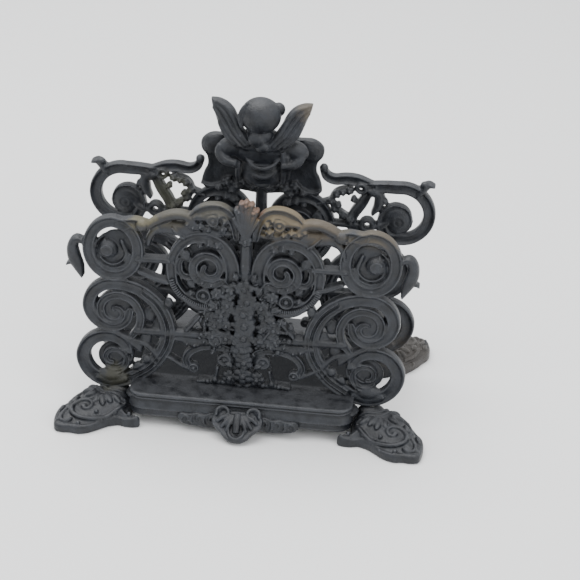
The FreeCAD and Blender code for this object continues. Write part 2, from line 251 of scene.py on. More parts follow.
def cast_iron():
    material = bpy.data.materials.new("cast_iron")
    material.use_nodes = True
    Signal.tree = material.node_tree
    shader = material.node_tree.nodes["Principled BSDF"]
    place = Signal(Signal.node("ShaderNodeTexCoord").outputs["Object"])
    form = Signal.node("ShaderNodeNewGeometry")
    facing_up = Signal(Signal.node("ShaderNodeSeparateXYZ",
                                   Vector=Signal(form.outputs["Normal"])).outputs["Z"])
    height = Signal(Signal.node("ShaderNodeSeparateXYZ", Vector=place).outputs["Z"])
    ridge = Signal(form.outputs["Pointiness"])

    pimples = grain(place, 1500, 3.0)
    blotches = grain(place, 160, 3.0)
    clouds = grain(place, 45)
    ragged = (blotches - 0.5) * 1.6

    colour = Signal(Signal.node("ShaderNodeMix", {"data_type": "RGBA"}, n0=blotches.over(0.3, 0.7),
                                n6=(0.006, 0.007, 0.0095, 1), n7=(0.019, 0.0215, 0.027, 1)).outputs[2])
    # ridges painted lighter: rubbed wear on the edges together with a painted edge highlight
    worn_and_highlit_edges = (ridge + (pimples - 0.5) * 0.07).over(0.515, 0.60)
    colour = stained(colour, worn_and_highlit_edges * 0.8, (0.066, 0.070, 0.079))
    # painted top light: faces turned up are painted a lighter grey, as if lit from above; they are also
    # made a little rougher
    painted_top_light = facing_up.over(0.35, 0.9) * (blotches + 0.25).over(0.45, 0.85)
    colour = stained(colour, painted_top_light * 0.3, (0.070, 0.070, 0.072))
    # painted shade: low down between the panels the iron is painted blacker (and made rougher), where shade
    # falls
    depth = Signal(Signal.node("ShaderNodeSeparateXYZ", Vector=place).outputs["Y"])
    painted_shade_between_panels = (1 - (depth * depth).over(0.00055, 0.00066)) * (1 - height.over(0.09, 0.11))
    colour = stained(colour, painted_shade_between_panels * 0.8, (0.006, 0.007, 0.009))
    top_edge = facing_up.over(-0.1, 0.6) * height.over(0.098, 0.108) * (1 - height.over(0.127, 0.134))
    for centre, radius, tint in EDGE_STAINS:
        colour = stained(colour, patch(place, centre, radius, ragged) * (top_edge * 0.8 + 0.1), tint)
    for centre, radius, tint in SPOTS:
        colour = stained(colour, patch(place, centre, radius, ragged) * 0.7, tint)
    Signal.tree.links.new(colour.socket, shader.inputs["Base Color"])

    rough = 0.40 + (blotches - 0.5) * 0.35 + (clouds - 0.5) * 0.2 + painted_top_light * 0.1 + painted_shade_between_panels * 0.4
    Signal.tree.links.new(rough.socket, shader.inputs["Roughness"])
    skin = pimples * 0.5 + grain(place, 620, 3.0) * 0.5
    bump = Signal.node("ShaderNodeBump", Height=skin, Strength=0.8, Distance=0.0006)
    Signal.tree.links.new(bump.outputs["Normal"], shader.inputs["Normal"])
    shader.inputs["Specular IOR Level"].default_value = 0.42
    return material


iron_finish = cast_iron()


def smooth_line(knots, step):
    """Points about a step apart on a smooth line through the knots."""
    knots = np.array(knots, float)
    ends = np.vstack([2 * knots[0] - knots[1], knots, 2 * knots[-1] - knots[-2]])
    dense = []
    for a, b, c, d in zip(ends, ends[1:], ends[2:], ends[3:]):
        for t in np.linspace(0, 1, 12, endpoint=False):
            dense.append(0.5 * (2 * b + (c - a) * t + (2 * a - 5 * b + 4 * c - d) * t ** 2
                                + (3 * b - a - 3 * c + d) * t ** 3))
    dense = np.array(dense + [knots[-1]])
    run = np.concatenate([[0], np.cumsum(np.linalg.norm(np.diff(dense[:, :3], axis=0), axis=1))])
    at = np.linspace(0, run[-1], max(3, int(round(run[-1] / step)) + 1))
    return np.stack([np.interp(at, run, dense[:, i]) for i in range(dense.shape[1])], axis=1)


def cord_bead(mould, knots, flat=1.0, step=0.6):
    """A round bead along knots (x, y, z, radius), flattened along y by a factor."""
    line = smooth_line(knots, step)
    rings = []
    for k, (x, y, z, radius) in enumerate(line):
        before, after = line[max(k - 1, 0), :3], line[min(k + 1, len(line) - 1), :3]
        run = Vector(after - before).normalized()
        side = run.cross(Vector((0, 1, 0)))
        side = side.normalized() if side.length > 0.1 else Vector((1, 0, 0))
        out = side.cross(run)
        tip = 0.45 if k in (0, len(line) - 1) else 1.0
        rings.append([Vector((x, y, z)) + (side * math.cos(a) + out * (flat * math.sin(a))) * (radius * tip)
                      for a in (math.tau * i / 8 for i in range(8))])
    mould.loft(rings)


SHELL_DROP = 17.0
SHELL_TOP = 14.6
LEAN_OUT, LEAN_DOWN = 0.66, 0.75                 # the scallop's lean from the apron


def shell_point(x, drop, out=0.0):
    """A point of the scallop, which leans out from the apron: drop is measured down it."""
    return (x, -PLINTH_DEPTH - 0.6 - LEAN_OUT * drop - LEAN_DOWN * out,
            SHELL_TOP - LEAN_DOWN * drop + LEAN_OUT * out)


scallop = Mould()
lip = smooth_line([(-9.6, 0.5, 0), (-12.4, 3.6, 0), (-12.6, 8.0, 0), (-8.6, 12.0, 0), (-4.6, 15.9, 0),
                   (0, SHELL_DROP, 0), (4.6, 15.9, 0), (8.6, 12.0, 0), (12.6, 8.0, 0), (12.4, 3.6, 0),
                   (9.6, 0.5, 0)], 1.1)
rings = []
for size, out in ((1.0, -2.2), (1.0, 0.3), (0.97, 1.1), (0.88, 0.9), (0.75, -0.1), (0.4, -0.2),
                  (0.05, 0.2)):
    ring = [shell_point(x * size, 1.5 + (drop - 1.5) * size, out) for x, drop, _ in lip]
    rings.append(ring)
scallop.loft(rings)
# the tongue in the middle, a hollow lobe on each side of it, and a curl at each shoulder
cord_bead(scallop, [(*shell_point(0, 2, 0.6), 1.6), (*shell_point(0, 7, 1.4), 2.1),
                    (*shell_point(0, 12.5, 1.2), 1.7)])
cord_bead(scallop, [(*shell_point(-3.9, 9.5, 0.9), 0.6), (*shell_point(-3.4, 13.2, 1.2), 0.8),
                    (*shell_point(0, 15.4, 1.4), 0.9), (*shell_point(3.4, 13.2, 1.2), 0.8),
                    (*shell_point(3.9, 9.5, 0.9), 0.6)])
for side in (-1, 1):
    for root, end, bulge in ((1.6, 5.2, 11.6), (2.4, 8.0, 9.8), (3.4, 10.6, 7.0)):
        cord_bead(scallop, [(*shell_point(side * root, 2.6, 0.5), 0.7),
                            (*shell_point(side * (root + end) / 2, bulge * 0.62, 1.2), 1.15),
                            (*shell_point(side * end, bulge, 0.8), 0.9)])
    cord_bead(scallop, [(*shell_point(side * (7.4 + r * math.cos(a)), 2.6 - r * math.sin(a), 1.0), w)
                        for a, r, w in ((-0.4, 3.9, 0.9), (0.5, 3.8, 1.0), (1.4, 3.4, 1.0),
                                        (2.4, 2.9, 0.95), (3.4, 2.4, 0.9), (4.6, 1.9, 0.8),
                                        (5.9, 1.2, 0.8))])
    # the long curl that runs out along the apron's lower edge
    outline = [(8, 5.2), (14, 3.4), (22, 3.6), (28, 4.4), (31.2, 7.4), (29.6, 10.4), (25, 10.2), (21, 11.2),
               (17, 10.4), (14, 11.8), (9, 11.4)]
    edge = smooth_line([(x, z, 0) for x, z in outline + outline[:1]], 1.1)[:-1]
    middle = edge.mean(axis=0)
    scallop.loft([[(side * (middle[0] + (x - middle[0]) * size), -PLINTH_DEPTH - out,
                    middle[1] + (z - middle[1]) * size)
                   for x, z, _ in edge] for size, out in ((1.0, -1.2), (1.0, 1.6), (0.93, 2.3), (0.8, 2.0),
                                                          (0.3, 2.1))])
    for x, z, radius in ((13, 8.6, 2.0), (19.5, 8.4, 2.0), (26.8, 7.4, 2.6)):
        cord_bead(scallop, [(side * (x + radius * math.cos(a) * (1 - k / 12)), -PLINTH_DEPTH - 2.3,
                             z + radius * math.sin(a) * (1 - k / 12), 0.65)
                            for k, a in enumerate(math.radians(d) for d in range(-60, 300, 45))])
    for x in (10, 16.4, 23):
        cord_bead(scallop, [(side * x, -PLINTH_DEPTH - 2.1, 4.6, 0.5),
                            (side * (x + 1.2), -PLINTH_DEPTH - 2.6, 7, 0.7),
                            (side * (x + 0.6), -PLINTH_DEPTH - 2.2, 9.6, 0.5)])
scallop.mirror(axis=1)
plinth_piece = plinth.pour("plinth")
scallop.pour("plinth_scallops", grid=0.4)
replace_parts(plinth_piece, "base_plate")

# ---------------------------------------------------------------------------------------------
# Screws.  Small steel screws, seen only from below and behind, hold the feet, the panels and the
# winged figure; they are the frame's own solids in a steel finish.


def screw_steel():
    material = bpy.data.materials.new("screw_steel")
    material.use_nodes = True
    Signal.tree = material.node_tree
    shader = material.node_tree.nodes["Principled BSDF"]
    place = Signal(Signal.node("ShaderNodeTexCoord").outputs["Object"])
    tarnish = grain(place, 900, 3.0).over(0.4, 0.65)
    tone = Signal.node("ShaderNodeMix", {"data_type": "RGBA"}, n0=tarnish, n6=(0.42, 0.41, 0.39, 1),
                       n7=(0.16, 0.13, 0.10, 1))
    Signal.tree.links.new(tone.outputs[2], shader.inputs["Base Color"])
    Signal.tree.links.new((0.32 + tarnish * 0.3).socket, shader.inputs["Roughness"])
    Signal.tree.links.new((1 - tarnish * 0.6).socket, shader.inputs["Metallic"])
    return material


steel_finish = screw_steel()
for name in ("foot_screws", "panel_screws", "figure_screws"):
    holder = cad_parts[name]
    for slot in holder.material_slots:
        slot.material = steel_finish

# ---------------------------------------------------------------------------------------------
# Feet.  Four cast leaves, screwed up under the plinth's corners.  Each has a boss for a panel's lug,
# slopes to its toe and rolls over to a thin edge, with a curled leaf in relief.  Worked out for the
# front right one.

FOOT_EDGE = [(57, -19.5), (64, -19.2), (71, -20.2), (75, -22.6), (79.5, -23.8), (84, -28), (88.2, -33.6),
             (91, -38.6), (93.8, -43), (94.5, -49), (93.8, -54.6), (92.4, -58.4), (88.6, -59.6),
             (84.4, -59.3), (80, -59.9), (75, -58), (70.4, -54.2), (66.4, -50.8), (61.6, -48.9),
             (57.6, -49.8), (53.2, -49.6), (50.8, -48.2), (51.4, -45.7), (55.4, -45.6), (57.2, -43.6),
             (57, -36), (57, -27)]
FOOT_RIM = 4.2                   # height of the thin edge
FOOT_ROLL = 9.0                  # how far in from the edge the roll reaches
FOOT_RISE = [(-40, 12.6), (0, 12.6), (8, 12.2), (20, 9.4), (34, 7.4), (48, 5.2), (60, 4.6)]

foot = Mould()
edge = smooth_line([(x, y, 0) for x, y in FOOT_EDGE + FOOT_EDGE[:1]], 1.0)[:-1]
foot_edge = edge[:, :2]


def foot_top(x, y):
    """The height of a foot's ground, falling towards the toe and rolling over to a thin edge."""
    down = ((x - 66) - (y + 34)) * math.sqrt(0.5)
    spots = [spot for spot, _ in FOOT_RISE]
    ridge = float(np.interp(down, spots, [z for _, z in FOOT_RISE]))
    inland = min(1.0, float(np.hypot(foot_edge[:, 0] - x, foot_edge[:, 1] - y).min()) / FOOT_ROLL)
    return FOOT_RIM + (ridge - FOOT_RIM) * inland * (2 - inland)


heart = np.array((73.5, -37.5, 0))
rings = []
for size, lower, floor in ((0.93, 0, 0.4), (0.985, 0, 0.0), (1.0, 0, 0.7), (1.0, 1.0, None),
                           (0.985, 0.3, None), (0.96, 0.1, None), (0.93, 0.5, None), (0.9, 1.3, None),
                           (0.86, 1.5, None), (0.75, 1.3, None), (0.6, 1.1, None), (0.45, 1.0, None),
                           (0.3, 1.0, None), (0.15, 1.0, None), (0.02, 1.0, None)):
    ring = []
    for x, y, _ in heart + (edge - heart) * size:
        ring.append((x, y, floor if floor is not None else foot_top(x, y) - lower))
    rings.append(ring)
foot.loft(rings)


def relief(knots, lift=0.0):
    """A raised stroke on a foot, along (x, y, radius)."""
    cord_bead(foot, [(x, y, foot_top(x, y) - 0.9 + lift, radius) for x, y, radius in knots])


def leaf_stroke(root, tip, wide, lift=0.0):
    """A leaf lobe on a foot, from its root to its rounded tip."""
    root, tip = Vector((*root, 0)), Vector((*tip, 0))
    middle = (root + tip) / 2
    long = (tip - root)
    axis = Vector((long.x, long.y, foot_top(tip.x, tip.y) - foot_top(root.x, root.y)))
    half = axis.length / 2
    axis.normalize()
    side = Vector((-axis.y, axis.x, 0)).normalized()
    centre = (middle.x, middle.y, foot_top(middle.x, middle.y) - 0.8 + lift)
    foot.lump(centre, (half, wide / 2, 1.5), (axis, side, axis.cross(side)), rows=7)


# the seat's step, with two fine lines under it
relief([(57, -33.6, 0.7), (63, -34.2, 0.8), (70, -33.4, 0.8), (74.5, -29, 0.8), (76, -23.5, 0.7)], 0.6)
relief([(57, -36.2, 0.7), (64, -36.8, 0.7), (71.4, -35.6, 0.7), (76.6, -30.4, 0.7), (78.2, -25, 0.6)], 0.3)
# the big curl, then the leaf's ribs and the scalloped flounce along its inner edge
relief([(59.5, -40.2, 0.9), (62, -45.4, 1.0), (67.2, -49.6, 1.1), (73, -53.2, 1.2), (79.6, -54.6, 1.2),
        (84.6, -51.8, 1.2), (85.6, -46.6, 1.1), (82.4, -42.6, 1.1), (77.8, -42.6, 1.0), (75.6, -46, 0.9),
        (77.4, -49, 0.9), (80.2, -48, 1.0)], 0.4)
relief([(80.6, -28, 0.9), (84.6, -33, 1.1), (87, -38, 1.1), (88.6, -43.2, 0.9)], 0.3)
relief([(88.2, -47.4, 0.8), (90.2, -51.6, 1.0), (89.6, -55.8, 0.9), (86.2, -56.6, 0.7)], 0.3)
for root, tip, wide in (((70, -38), (66, -44.6), 3.6), ((71.6, -38.6), (70, -46.6), 3.6),
                        ((73.4, -38), (74.6, -44.6), 3.2), ((75.6, -36.4), (81, -39.4), 3.4),
                        ((76.6, -34), (83.6, -35), 3.4), ((66.4, -38.6), (61.6, -43), 3.2),
                        ((77, -31.4), (81.6, -30), 2.8), ((63, -39), (58.6, -39.6), 2.4),
                        ((84, -55), (88, -57.6), 2.6), ((90.4, -44), (92, -48.6), 2.4),
                        ((84, -38.4), (86.6, -43.6), 2.6)):
    leaf_stroke(root, tip, wide, 0.3)
for x, y, radius in ((79.6, -47.2, 1.5), (85.6, -30.6, 1.2), (63.4, -47.2, 1.1), (56.2, -47.6, 1.0),
                     (91.4, -55.4, 1.1), (80.4, -57.6, 1.0), (72.6, -50, 0.9), (69.4, -52.2, 0.9)):
    foot.lump((x, y, foot_top(x, y) - 0.4), (radius, radius, 1.2), rows=6)
# the boss that a panel's lug stands on, and the tongue that reaches under the plinth
foot.lump((66.5, -28, 8.6), (7.4, 5.6, 4.6), rows=9)
foot.lump((52, -34, 12.6), (8.4, 7.6, 2.3), rows=8)
for name, (sx, sy) in {"front_right": (1, 1), "front_left": (-1, 1), "back_right": (1, -1),
                       "back_left": (-1, -1)}.items():
    copy = Mould()
    copy.shell([(sx * x, sy * y, z) for x, y, z in foot.points],
               [face if sx * sy > 0 else tuple(reversed(face)) for face in foot.faces])
    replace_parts(copy.pour(name + "_leaf_foot", grid=0.45), name + "_foot")

# ---------------------------------------------------------------------------------------------
# Scrollwork that both panels share.  Each panel is one openwork iron casting about 6 mm thick,
# moulded on the side towards the customer and flat behind: C-scrolls at the ends, ribbed rings
# beside a flowered stem, and a low arch on the plinth.  Worked out for the right half.

FRONT_FACE, BACK_FACE = -31.0, 25.0              # y of each panel's moulded side
# (across the band, left edge to right, in widths; depth from the face)
CHANNEL = [(0.5, 4.9), (0.5, 1.6), (0.47, 0.6), (0.42, 0.1), (0.35, 0.2), (0.3, 0.9), (0.2, 1.5),
           (0.0, 1.6), (-0.2, 1.3), (-0.33, 0.7), (-0.42, 0.5), (-0.48, 1.1), (-0.5, 2.0), (-0.5, 4.9),
           (-0.42, 5.9), (0.42, 5.9)]
ROUND = [(0.5, 4.9), (0.5, 3.0), (0.43, 1.3), (0.25, 0.3), (0.0, 0.0), (-0.25, 0.3), (-0.43, 1.3),
         (-0.5, 3.0), (-0.5, 4.9), (-0.38, 5.8), (0.38, 5.8)]
THIN = [(0.5, 3.0), (0.45, 1.2), (0.25, 0.2), (0.0, -0.1), (-0.25, 0.2), (-0.45, 1.2), (-0.5, 3.0),
        (-0.3, 3.6), (0.3, 3.6)]


def curl(x, z, *marks):
    """Knots (x, z, width) round a spiral, through marks (angle in degrees, radius, width)."""
    knots = []
    for (a0, r0, w0), (a1, r1, w1) in zip(marks, marks[1:]):
        steps = max(1, round(abs(a1 - a0) / 20))
        for k in range(steps + (marks[-1] == (a1, r1, w1))):
            t = k / steps
            angle, radius = math.radians(a0 + (a1 - a0) * t), r0 + (r1 - r0) * t
            knots.append((x + radius * math.cos(angle), z + radius * math.sin(angle), w0 + (w1 - w0) * t))
    return knots


def scroll(mould, face, knots, section=ROUND, lift=0.0, step=0.8):
    """A band of iron in the plane of a panel, along knots (x, z, width), with rounded ends."""
    line = smooth_line([(x, z, 0, w) for x, z, w in knots], step)
    spot, wide = line[:, :2], line[:, 3]
    along = np.gradient(spot, axis=0)
    along /= np.linalg.norm(along, axis=1)[:, None]
    stations = [(spot[0] - along[0] * wide[0] / 2 * math.sin(a), along[0], wide[0] * math.cos(a))
                for a in (1.4, 1.0, 0.5)]
    stations += list(zip(spot, along, wide))
    stations += [(spot[-1] + along[-1] * wide[-1] / 2 * math.sin(a), along[-1], wide[-1] * math.cos(a))
                 for a in (0.5, 1.0, 1.4)]
    rings = []
    for (x, z), (tx, tz), w in stations:
        rings.append([(x - tz * a * w, face - lift + d, z + tx * a * w) for a, d in section])
    mould.loft(rings)


def petal(mould, face, x, z, turn, long, wide, lift=0.0, thick=1.7):
    """One petal or leaf lobe from its root at (x, z), pointing at turn degrees."""
    c, s = math.cos(math.radians(turn)), math.sin(math.radians(turn))
    mould.lump((x + c * long / 2, face + 1.6 - lift, z + s * long / 2), (long / 2, thick, wide / 2),
               (Vector((c, 0, s)), Vector((0, 1, 0)), Vector((-s, 0, c))), rows=6)


def leaf(mould, face, x, z, turn, long, wide, lift=0.0):
    """A cut leaf: a long middle lobe and two pairs at its sides, on a plain backing."""
    c, s = math.cos(math.radians(turn)), math.sin(math.radians(turn))
    petal(mould, face, x, z, turn, long, wide * 0.42, lift, 1.9)
    for at, spread, size in ((0.1, 30, 0.62), (0.36, 26, 0.5)):
        for side in (-1, 1):
            petal(mould, face, x + c * long * at, z + s * long * at, turn + side * spread, long * size,
                  wide * 0.36,
                  lift - 0.3)
    mould.lump((x + c * long * 0.42, face + 3.6, z + s * long * 0.42), (long * 0.44, 2.0, wide * 0.4),
               (Vector((c, 0, s)), Vector((0, 1, 0)), Vector((-s, 0, c))), rows=6)


def blossom(mould, face, x, z, size, petals=5, lift=0.5, turn=17.0):
    """A flower head: a ring of petals round a button, on a lump of iron."""
    mould.lump((x, face + 3.2 - lift, z), (size * 0.8, 2.9, size * 0.8), rows=6)
    for k in range(petals):
        petal(mould, face, x + 0.18 * size * math.cos(math.radians(turn + 360 * k / petals)),
              z + 0.18 * size * math.sin(math.radians(turn + 360 * k / petals)), turn + 360 * k / petals,
              size * 0.84, size * 0.78, lift, 1.5)
    mould.lump((x, face - lift - 0.1, z), (size * 0.3, 1.0, size * 0.3), rows=5)


def rosette(mould, face, x, z, size, lift=0.0):
    """A round boss with a rim, a groove and a button."""
    mould.lump((x, face + 3.4, z), (size * 0.86, 2.6, size * 0.86), rows=7)
    scroll(mould, face, curl(x, z, (0, size * 0.76, size * 0.42), (350, size * 0.76, size * 0.42)), THIN,
           lift)
    mould.lump((x, face + 0.9 - lift, z), (size * 0.34, 1.4, size * 0.34), rows=6)


def cast(name, makers, face, node, grid=None, whole=False, lean=None):
    """Pours one piece of a panel; unless it is drawn whole, its left half mirrors its right."""
    mould = Mould()
    for maker in makers:
        maker(mould, face)
    if not whole:
        mould.mirror()
    if lean:
        aside, rise = lean
        mould.points = [(x + aside, y, z + rise * x) for x, y, z in mould.points]
    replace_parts(mould.pour(name, grid=grid), node)


def end_scrolls(mould, face):
    """The C-scroll at a panel's end with the curls, straps and leaves inside it."""
    scroll(mould, face, curl(66.5, 31, (285, 5.6, 3.4), (180, 9.2, 4.8), (90, 11.7, 6.4), (0, 14.6, 7.4),
                             (-90, 15.2, 7.4))
           + [(61, 16.8, 7.4), (54.5, 19.8, 7.8), (46, 26.5, 8.0), (39.4, 36, 8.0), (36.6, 45, 8.0),
              (37.6, 54, 8.0), (42, 63, 7.8), (49.6, 69.8, 7.4), (57.4, 72.8, 7.0)]
           + curl(64.5, 60, (90, 13.2, 6.8), (0, 12.7, 6.6), (-90, 11.4, 5.6), (-165, 8.6, 4.0)), CHANNEL)
    # the upper curl is wound up solid; the strap inside it is its last turn
    mould.lump((64.6, face + 4.4, 57), (10.4, 2.2, 10.2), rows=10)
    scroll(mould, face, [(55.4, 43.6, 3.0), (51.8, 48.6, 4.2), (50.6, 55, 4.6)]
           + curl(64, 57, (165, 12.4, 4.6), (90, 9.6, 4.6), (0, 6.9, 4.2), (-90, 5.6, 3.6),
                  (-180, 4.0, 3.2), (-280, 2.0, 2.4)), CHANNEL)
    # so is the lower one, round its own middle
    mould.lump((64.4, face + 4.6, 29.6), (9.6, 2.0, 9.0), rows=10)
    scroll(mould, face, curl(65.3, 29.8, (285, 8.2, 2.0), (180, 7.0, 3.2), (90, 5.4, 3.2), (0, 3.6, 2.6),
                             (-80, 2.2, 2.0)), CHANNEL, 0.4)
    mould.lump((66.4, face + 2.4, 19.6), (7.6, 3.0, 4.0), rows=9)
    # the lug that stands on the foot
    scroll(mould, face, [(61.2, 17.4, 6.8), (66.5, 16.2, 7.2), (71.8, 17.4, 6.8)])
    # two fine ridges up the C's back
    for shift in (-1.9, 0.4):
        scroll(mould, face, [(56 + shift * 0.3, 20.2 + shift, 0.9),
                             (46.6 + shift * 0.8, 26.9 + shift * 0.6, 1.2), (40 + shift, 36, 1.2),
                             (37.2 + shift, 45, 1.2), (38.2 + shift, 54, 1.2),
                             (42.5 + shift * 0.8, 62.6 - shift * 0.6, 1.2),
                             (49.8 + shift * 0.5, 69.2 - shift * 0.8, 1.0)], THIN, 0.1)
    # the leaf strap below the upper curl
    scroll(mould, face, [(52.6, 37.6, 3.0), (57, 41.4, 3.6), (63.4, 45.4, 3.2)], ROUND, 0.3)
    scroll(mould, face, [(42, 32, 3.0), (44.6, 35.8, 3.6), (49, 39.6, 3.6), (56, 41.6, 3.0)])
    scroll(mould, face, [(42.6, 27.6, 2.0), (45, 30.6, 2.0), (47.4, 30.8, 2.2)])
    mould.lump((47.6, face + 1.2, 31), (2.5, 2.4, 2.5), rows=7)
    mould.lump((36, face + 0.6, 65), (2.4, 2.2, 3.0), rows=6)
    for x, z, turn, long, wide in ((55.6, 24.4, 150, 7.0, 4.4), (50.4, 34.6, 60, 7.4, 4.4),
                                   (54.4, 33.6, 20, 6.0, 3.6)):
        leaf(mould, face, x, z, turn, long, wide, 0.2)
    for x, z, size in ((41.6, 47.4, 4.2), (46.4, 55.6, 3.4), (48.6, 42.0, 3.4), (43.6, 61.4, 2.6)):
        mould.lump((x, face + 4.0, z), (size, 2.0, size * 1.3), rows=7)
    # bars to the ribbed ring
    scroll(mould, face, [(18, 46.9, 4.6), (34, 46.8, 4.6), (52, 46.8, 4.4)])
    scroll(mould, face, [(20.6, 57.6, 2.4), (23, 54.6, 2.8), (26.6, 50, 3.0)])
    scroll(mould, face, [(36.8, 87.9, 3.8), (51, 87.9, 3.8)])
    scroll(mould, face, [(37.4, 76, 3.2), (43.4, 77.6, 3.4), (50, 80.4, 3.2)])


def ribbed_scrolls(mould, face):
    """The ribbed ring beside the stem and the curl, eyelet and flowers inside it."""
    oval = []
    for k in range(21):
        angle = math.radians(-20 + 19.2 * k)
        wide = 6.4 - 1.2 * math.cos(angle) - 0.6 * abs(math.sin(angle))
        oval.append((21.2 + (18.6 - wide / 2) * math.cos(angle), 83.4 + (21.4 - wide / 2) * math.sin(angle),
                     wide))
    scroll(mould, face, oval, CHANNEL)
    mould.lump((20.4, face + 4.8, 82.6), (13.4, 1.6, 16.6), rows=12)
    scroll(mould, face, [(9.6, 77, 3.0)] + curl(18.2, 85.2, (225, 9.4, 4.0), (270, 8.6, 4.8),
                                                (360, 8.0, 4.8), (450, 7.0, 4.4), (540, 5.8, 3.8),
                                                (630, 4.6, 3.2), (740, 2.4, 2.6)), CHANNEL, 0.6)
    scroll(mould, face, curl(28.6, 85, (75, 5.6, 2.0), (0, 4.4, 3.4), (-75, 5.4, 3.4), (-150, 5.6, 2.4)),
           CHANNEL, 0.2)
    leaf(mould, face, 28.4, 88, 68, 7.6, 5.0, 0.4)
    for x, z, size in ((14, 97.8, 2.4), (18.4, 98.8, 2.2), (22.6, 97.6, 1.8), (16.8, 76.2, 2.3),
                       (21.4, 77.2, 2.2), (14.2, 66, 2.2), (27.2, 70.6, 1.9), (11, 73, 2.6)):
        blossom(mould, face, x, z, size, 5, 0.2, 40 * x)
    rosette(mould, face, 20.8, 70, 4.3, 0.5)
    leaf(mould, face, 13, 69.4, 118, 8.6, 5.6, 0.2)
    leaf(mould, face, 24.6, 73.6, 40, 6.4, 3.8, 0.0)
    scroll(mould, face, [(8, 66, 2.6), (15, 63.2, 3.2), (20, 62.2, 3.2), (26, 63.6, 3.2), (31, 67.4, 2.6)],
           ROUND, 0.4)


RIBS_ROUND = 96                  # if they went all the way round


def ring_ribs(mould, face):
    """The fine ribs across the lower part of the ribbed ring."""
    for k in range(52, 92):
        angle = math.tau * k / RIBS_ROUND
        c, s = math.cos(angle), math.sin(angle)
        x, z = 21.2 + 16.6 * c, 83.4 + 19.4 * s
        mould.lump((x, face + 0.65, z), (1.5, 0.7, 0.42),
                   (Vector((c, 0, s)), Vector((0, 1, 0)), Vector((-s, 0, c))), rows=4)


def low_arch(mould, face):
    """The M of two arches on the plinth, with their blossoms and drops."""
    scroll(mould, face, curl(9.9, 33.6, (20, 2.9, 2.6), (340, 2.9, 2.6)), THIN, 0.4)
    mould.lump((9.9, face + 1.4, 33.6), (1.6, 2.0, 1.6), rows=6)
    scroll(mould, face, [(5.6, 28.6, 3.2), (3.9, 33.6, 3.8), (6.6, 38.6, 4.0), (12.4, 40.7, 4.2),
                         (20, 40.3, 4.2), (26.6, 37.3, 4.2), (29.8, 32, 4.0), (27.8, 26.8, 3.4)], CHANNEL)
    rosette(mould, face, 25.8, 27.4, 2.9, 0.4)
    for x, z, size in ((25.2, 41.2, 2.3), (29, 41.8, 2.1), (12, 43.8, 2.0), (20.4, 44, 2.2)):
        blossom(mould, face, x, z, size, 5, 0.3, 25 * x)
    scroll(mould, face, [(15.6, 43, 4.6), (24, 42.8, 5.4), (33.6, 43.6, 4.8)])
    scroll(mould, face, [(13.4, 28.4, 2.0), (14, 24.6, 1.8), (15, 20.6, 2.4)])
    scroll(mould, face, [(27.6, 25.8, 2.6), (33, 28.6, 2.8), (39.4, 32.6, 2.8)])
    scroll(mould, face, [(-2, 19.8, 3.6), (12, 19.8, 3.4), (23, 19.6, 2.8)])
    for x, z, size in ((2, 19.6, 1.5), (6, 21.2, 1.7), (10.2, 20.6, 1.5), (14.6, 21.6, 1.6), (7, 26.6, 2.0),
                       (18.4, 20.4, 1.2)):
        mould.lump((x, face + 0.6, z), (size, 1.6, size), rows=5)


def festoon(mould, face):
    """The stem and the string of fruit and flowers down the middle."""
    scroll(mould, face, [(0, 22, 5.0), (0, 60, 6.0), (0, 84, 6.4), (0, 104, 6.0)])
    for k in range(14):
        z = 83 + 1.55 * k
        petal(mould, face, 0, z, 118, 4.2, 1.9, 0.7, 1.2)
        petal(mould, face, 0, z, 62, 4.2, 1.9, 0.7, 1.2)
    for x, z, size, petals in ((0, 76, 4.9, 6), (1.5, 69, 5.2, 7), (-0.4, 62, 6.0, 7), (0.3, 55, 6.0, 8),
                               (0, 48, 5.6, 7), (-0.5, 41, 5.4, 6), (0.4, 34, 4.9, 6), (0, 26, 5.2, 6)):
        blossom(mould, face, x, z, size, petals, 2.2, 31 * z)
    for side in (-1, 1):
        for x, z, size in ((8.5, 66, 4.1), (14, 72, 3.4), (11.5, 60, 4.6), (15, 54, 4.2), (9, 47, 4.4),
                           (16, 47.5, 3.4), (14, 44, 2.3), (7, 24, 4.2), (18.4, 58.4, 2.2), (9, 54.4, 2.8)):
            blossom(mould, face, side * x, z, size, 6, 1.4, 23 * z + 50 * side)
        for x, z, turn, long, wide in ((6, 52, 30, 7.6, 5.0), (5.6, 72, 60, 6.4, 4.2),
                                       (12, 64, 15, 7.2, 4.4), (10.6, 50.6, -25, 6.4, 4.2),
                                       (4.8, 30.4, 25, 5.4, 4.0), (3.4, 79.6, 65, 5.4, 3.4)):
            leaf(mould, face, side * x, z, turn if side > 0 else 180 - turn, long, wide, 1.4)
    scroll(mould, face, [(6, 45.4, 1.8), (9.6, 48, 2.2), (12.2, 51.8, 2.2)], THIN, 1.8)
    scroll(mould, face, curl(-14.5, 45.5, (0, 2.9, 1.6), (340, 2.9, 1.6)), THIN, 1.6)
    # a plain ground behind, and small fruit and leaf tips crowded over it
    for z, wide, tall in ((72, 12, 8), (62, 19, 9), (52, 24, 9), (44, 22, 5)):
        mould.lump((0, face + 4.7, z), (wide, 1.4, tall), rows=10)
    strew = np.random.default_rng(5)
    for _ in range(230):
        z = strew.uniform(39, 78)
        x = strew.uniform(-1, 1) * np.interp(z, (39, 46, 56, 66, 78), (17, 25, 25, 19, 9))
        size = strew.uniform(0.7, 1.7)
        if strew.uniform() < 0.5:
            petal(mould, face, x, z, strew.uniform(0, 360), 2.6 * size, 1.3 * size,
                  strew.uniform(-0.8, 2.4), 1.2)
        else:
            mould.lump((x, face + strew.uniform(-1.4, 2.0), z), (size, 1.4, size * strew.uniform(0.7, 1.2)),
                       rows=5)

# ---------------------------------------------------------------------------------------------
# Front panel.  The lower of the two; its ears are rings round a ball, and a plume rises over the stem
# between two broad leaves.  The top edge has lost some of its black and shows ochre rust.


